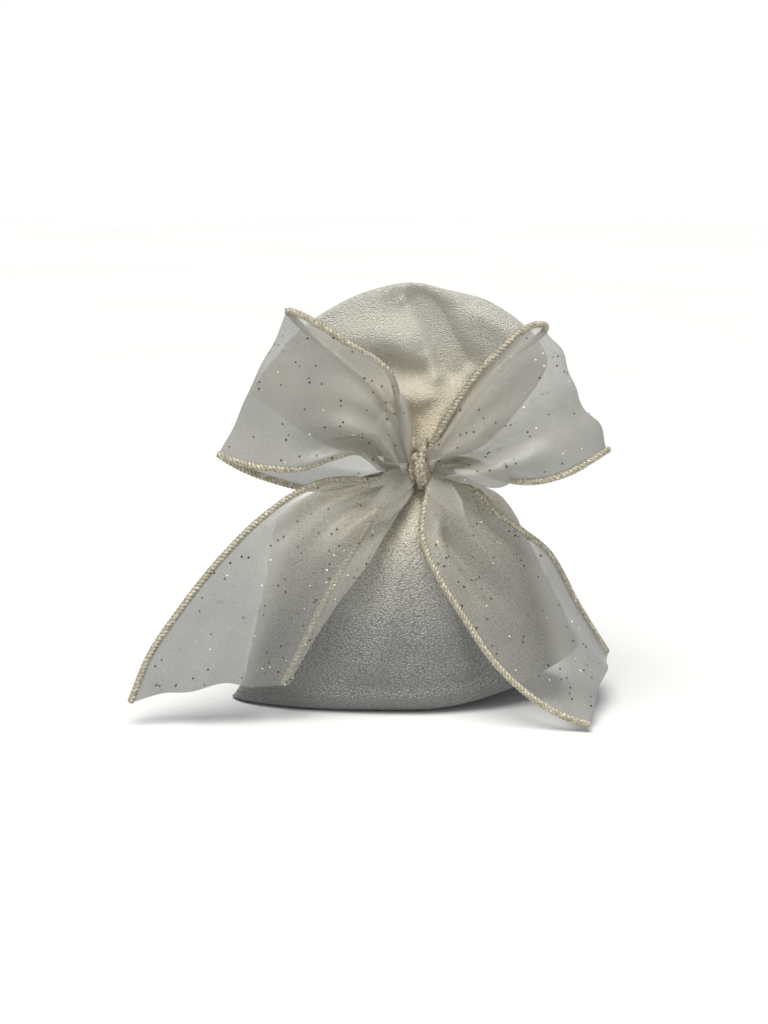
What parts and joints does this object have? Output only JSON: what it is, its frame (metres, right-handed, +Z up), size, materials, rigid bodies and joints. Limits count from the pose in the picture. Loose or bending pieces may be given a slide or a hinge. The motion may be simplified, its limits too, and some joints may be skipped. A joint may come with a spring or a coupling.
{
  "type": "drawstring gift pouch",
  "caption": "Filled fabric gift pouch standing upright, its gathered mouth tied with a sheer ribbon bow with two loops and two long tails.",
  "frame": {"origin": "on the surface the pouch stands on, straight under the middle of the tied neck", "axes": "+Z up, -Y out of the front where the bow is, +X to the right seen from the front"},
  "size_m": [0.1193, 0.057, 0.103],
  "materials": {
    "crepe": "ivory hammered crepe, soft sheen",
    "organza": "sheer ivory organza with fine metallic flecks",
    "edge_thread": "beige gold overlocked cord edge",
    "wadding": "loose white wadding"
  },
  "bodies": {
    "pouch": {"front_panel": "crepe", "back_panel": "crepe", "base_fold": "crepe", "left_side_seam": "crepe", "right_side_seam": "crepe", "neck_gather": "crepe", "filling": "wadding", "ribbon_collar": "organza", "knot": "organza"},
    "crown": {"crown_root": "crepe", "crown_front": "crepe", "crown_back": "crepe", "mouth_hem_front": "crepe", "mouth_hem_back": "crepe"},
    "left_loop": {"left_loop_front": "organza", "left_loop_back": "organza", "left_loop_top_edge": "edge_thread", "left_loop_bottom_edge": "edge_thread"},
    "left_tail_gather": {"left_tail_gather": "organza"},
    "left_tail": {"left_tail": "organza", "left_tail_outer_edge": "edge_thread", "left_tail_inner_edge": "edge_thread"},
    "right_loop": {"right_loop_front": "organza", "right_loop_back": "organza", "right_loop_top_edge": "edge_thread", "right_loop_bottom_edge": "edge_thread"},
    "right_tail_gather": {"right_tail_gather": "organza"},
    "right_tail": {"right_tail": "organza", "right_tail_outer_edge": "edge_thread", "right_tail_inner_edge": "edge_thread"}
  },
  "joints": [
    {"name": "crown_tilt", "type": "hinge", "parent": "pouch", "child": "crown", "pos_m": [0, 0, 0.0662], "axis": [-1, 0, 0], "range_deg": [0, 35], "stiffness_Nm_per_rad": 0.02},
    {"name": "left_loop_lift", "type": "hinge", "parent": "pouch", "child": "left_loop", "pos_m": [0, -0.0121, 0.0593], "axis": [0, 1, 0], "range_deg": [0, 15]},
    {"name": "right_loop_lift", "type": "hinge", "parent": "pouch", "child": "right_loop", "pos_m": [0, -0.0121, 0.0593], "axis": [0, -1, 0], "range_deg": [0, 15]},
    {"name": "left_tail_pull", "type": "slide", "parent": "pouch", "child": "left_tail_gather", "axis": [-0.8, -0.6, 0], "range_m": [0, 0.01]},
    {"name": "right_tail_pull", "type": "slide", "parent": "pouch", "child": "right_tail_gather", "axis": [0.8, -0.6, 0], "range_m": [0, 0.01]},
    {"name": "left_tail_lift", "type": "hinge", "parent": "left_tail_gather", "child": "left_tail", "pos_m": [-0.01025, -0.01825, 0.05165], "axis": [-0.4606, 0.2094, 0.8626], "range_deg": [0, 60]},
    {"name": "right_tail_lift", "type": "hinge", "parent": "right_tail_gather", "child": "right_tail", "pos_m": [0.0071, -0.0182, 0.05], "axis": [-0.7524, -0.2676, -0.6019], "range_deg": [0, 60]}
  ]
}
